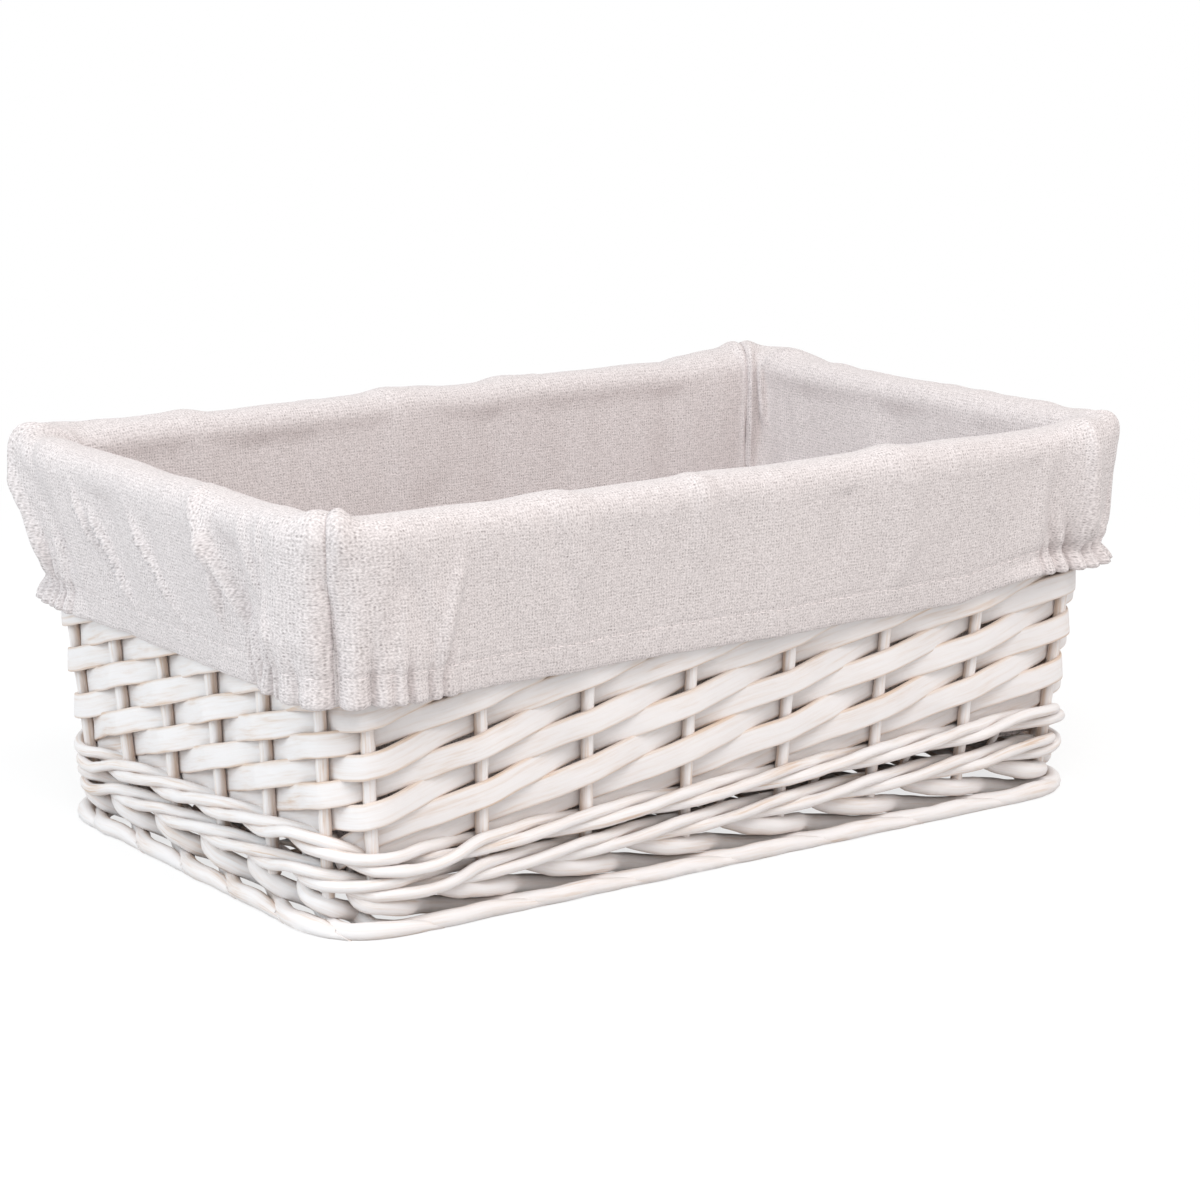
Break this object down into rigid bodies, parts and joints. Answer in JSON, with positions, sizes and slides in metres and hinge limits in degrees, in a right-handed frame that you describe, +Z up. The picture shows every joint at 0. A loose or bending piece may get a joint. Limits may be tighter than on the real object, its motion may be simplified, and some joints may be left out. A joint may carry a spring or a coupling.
{
  "type": "laundry basket",
  "caption": "Whitewashed wicker laundry basket, rectangular, woven from willow strips on round stakes, with a cloth liner whose gathered cuff folds over the rim.",
  "frame": {"origin": "on the floor, below the middle of the basket", "axes": "+X along the long side, +Y from the front long side to the back, +Z up"},
  "size_m": [0.4142, 0.2668, 0.1602],
  "materials": {
    "willow_strip": "whitewashed split willow, matt",
    "willow_rod": "whitewashed round willow, matt",
    "cotton": "plain-woven unbleached cotton",
    "elastic": "woven elastic band"
  },
  "bodies": {
    "basket": {"weaver_01": "willow_strip", "weaver_02": "willow_strip", "weaver_03": "willow_strip", "weaver_04": "willow_strip", "weaver_05": "willow_strip", "weaver_06": "willow_strip", "weaver_07": "willow_strip", "weaver_08": "willow_strip", "weaver_09": "willow_strip", "weaver_10": "willow_strip", "weaver_11": "willow_strip", "weaver_12": "willow_strip", "weaver_13": "willow_strip", "weaver_14": "willow_strip", "weaver_15": "willow_strip", "weaver_16": "willow_strip", "weaver_17": "willow_strip", "weaver_18": "willow_strip", "weaver_19": "willow_strip", "weaver_20": "willow_strip", "weaver_21": "willow_strip", "weaver_22": "willow_strip", "weaver_23": "willow_strip", "weaver_24": "willow_strip", "weaver_25": "willow_strip", "weaver_26": "willow_strip", "weaver_27": "willow_strip", "weaver_28": "willow_strip", "corner_stakes": "willow_rod", "front_stakes": "willow_rod", "front_foot_rods": "willow_rod", "right_stakes": "willow_rod", "right_foot_rods": "willow_rod", "back_stakes": "willow_rod", "back_foot_rods": "willow_rod", "left_stakes": "willow_rod", "left_foot_rods": "willow_rod", "lower_wale_rod_1": "willow_rod", "lower_wale_rod_2": "willow_rod", "lower_wale_rod_3": "willow_rod", "upper_wale_rod_1": "willow_rod", "upper_wale_rod_2": "willow_rod", "upper_wale_rod_3": "willow_rod", "base_sticks": "willow_rod", "base_strips": "willow_strip"},
    "liner": {"liner_bottom": "cotton", "liner_front": "cotton", "liner_right": "cotton", "liner_back": "cotton", "liner_left": "cotton", "hem_elastics": "elastic"}
  },
  "joints": [
    {"name": "liner_lift", "type": "slide", "parent": "basket", "child": "liner", "axis": [0, 0, 1], "range_m": [0, 0.16]}
  ]
}
